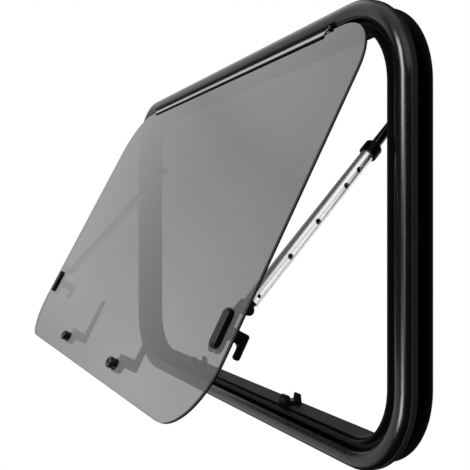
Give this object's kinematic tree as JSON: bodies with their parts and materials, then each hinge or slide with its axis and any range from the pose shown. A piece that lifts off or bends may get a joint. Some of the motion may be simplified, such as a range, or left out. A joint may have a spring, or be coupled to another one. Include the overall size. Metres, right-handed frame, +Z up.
{
  "type": "caravan window",
  "caption": "Top-hung caravan window: black framed opening with a smoked acrylic pane on a top hinge, telescopic side stays, turn latches and a clamp frame behind the wall.",
  "frame": {"origin": "on the flat back face of the outer flange, at the middle of its bottom run, where it overlaps the wall", "axes": "+X along the window to the right as seen from outside, +Y through the wall into the vehicle, +Z up"},
  "size_m": [0.935, 0.301, 0.5851],
  "materials": {
    "frame_gloss": "gloss",
    "frame_matt": "matt",
    "seal": "satin",
    "hinge_metal": "satin",
    "pane": "gloss",
    "tube_metal": "satin",
    "moulding": "satin"
  },
  "bodies": {
    "frame": {"outer_frame": "frame_gloss", "clamp_frame": "frame_matt", "pane_seal": "seal", "hinge_rail": "frame_matt", "left_stay_bracket": "moulding", "right_stay_bracket": "moulding", "left_bottom_catch": "moulding", "right_bottom_catch": "moulding", "left_side_catch": "moulding", "right_side_catch": "moulding"},
    "pane": {"pane_sheet": "pane", "hinge_profile": "hinge_metal", "hinge_gasket": "seal", "left_side_plate": "moulding", "right_side_plate": "moulding", "left_outer_pad": "moulding", "right_outer_pad": "moulding", "left_latch_cap": "moulding", "right_latch_cap": "moulding", "left_latch_base": "moulding", "right_latch_base": "moulding"},
    "left_rod": {"left_stay_rod": "moulding"},
    "left_tube": {"left_stay_tube": "tube_metal", "left_stay_collar": "moulding", "left_stay_eye": "moulding"},
    "left_bottom_lever": {"left_latch_lever": "moulding"},
    "left_edge_lever": {"left_side_lever": "moulding"},
    "right_rod": {"right_stay_rod": "moulding"},
    "right_tube": {"right_stay_tube": "tube_metal", "right_stay_collar": "moulding", "right_stay_eye": "moulding"},
    "right_bottom_lever": {"right_latch_lever": "moulding"},
    "right_edge_lever": {"right_side_lever": "moulding"}
  },
  "joints": [
    {"name": "pane_hinge", "type": "hinge", "parent": "frame", "child": "pane", "pos_m": [0, -0.02045, 0.55175], "axis": [-1, 0, 0], "range_deg": [-28, 0]},
    {"name": "left_stay_pivot", "type": "hinge", "parent": "frame", "child": "left_rod", "pos_m": [-0.4075, 0.024, 0.42975], "axis": [-1, 0, 0], "range_deg": [-36.99, 0.01]},
    {"name": "left_stay_slide", "type": "slide", "parent": "left_rod", "child": "left_tube", "axis": [0, -0.6812, -0.7321], "range_m": [-0.04415, 0.00001]},
    {"name": "left_latch_turn", "type": "hinge", "parent": "pane", "child": "left_bottom_lever", "pos_m": [-0.142, -0.25172, 0.1056], "axis": [0, 0.8829, -0.4695], "range_deg": [-90, 0]},
    {"name": "left_lever_turn", "type": "hinge", "parent": "pane", "child": "left_edge_lever", "pos_m": [-0.3995, -0.21018, 0.18374], "axis": [0, -0.8829, 0.4695], "range_deg": [-90, 0]},
    {"name": "right_stay_pivot", "type": "hinge", "parent": "frame", "child": "right_rod", "pos_m": [0.4075, 0.024, 0.42975], "axis": [-1, 0, 0], "range_deg": [-36.99, 0.01]},
    {"name": "right_stay_slide", "type": "slide", "parent": "right_rod", "child": "right_tube", "axis": [0, -0.6812, -0.7321], "range_m": [-0.04415, 0.00001]},
    {"name": "right_latch_turn", "type": "hinge", "parent": "pane", "child": "right_bottom_lever", "pos_m": [0.142, -0.25172, 0.1056], "axis": [0, -0.8829, 0.4695], "range_deg": [-90, 0]},
    {"name": "right_lever_turn", "type": "hinge", "parent": "pane", "child": "right_edge_lever", "pos_m": [0.3995, -0.21018, 0.18374], "axis": [0, 0.8829, -0.4695], "range_deg": [-90, 0]}
  ],
  "couplings": [
    {"joint": "left_stay_pivot", "follows": "pane_hinge", "ratio": 1.3206},
    {"joint": "left_stay_slide", "follows": "pane_hinge", "m_per_rad": 0.090328},
    {"joint": "right_stay_pivot", "follows": "pane_hinge", "ratio": 1.3206},
    {"joint": "right_stay_slide", "follows": "pane_hinge", "m_per_rad": 0.090328}
  ]
}
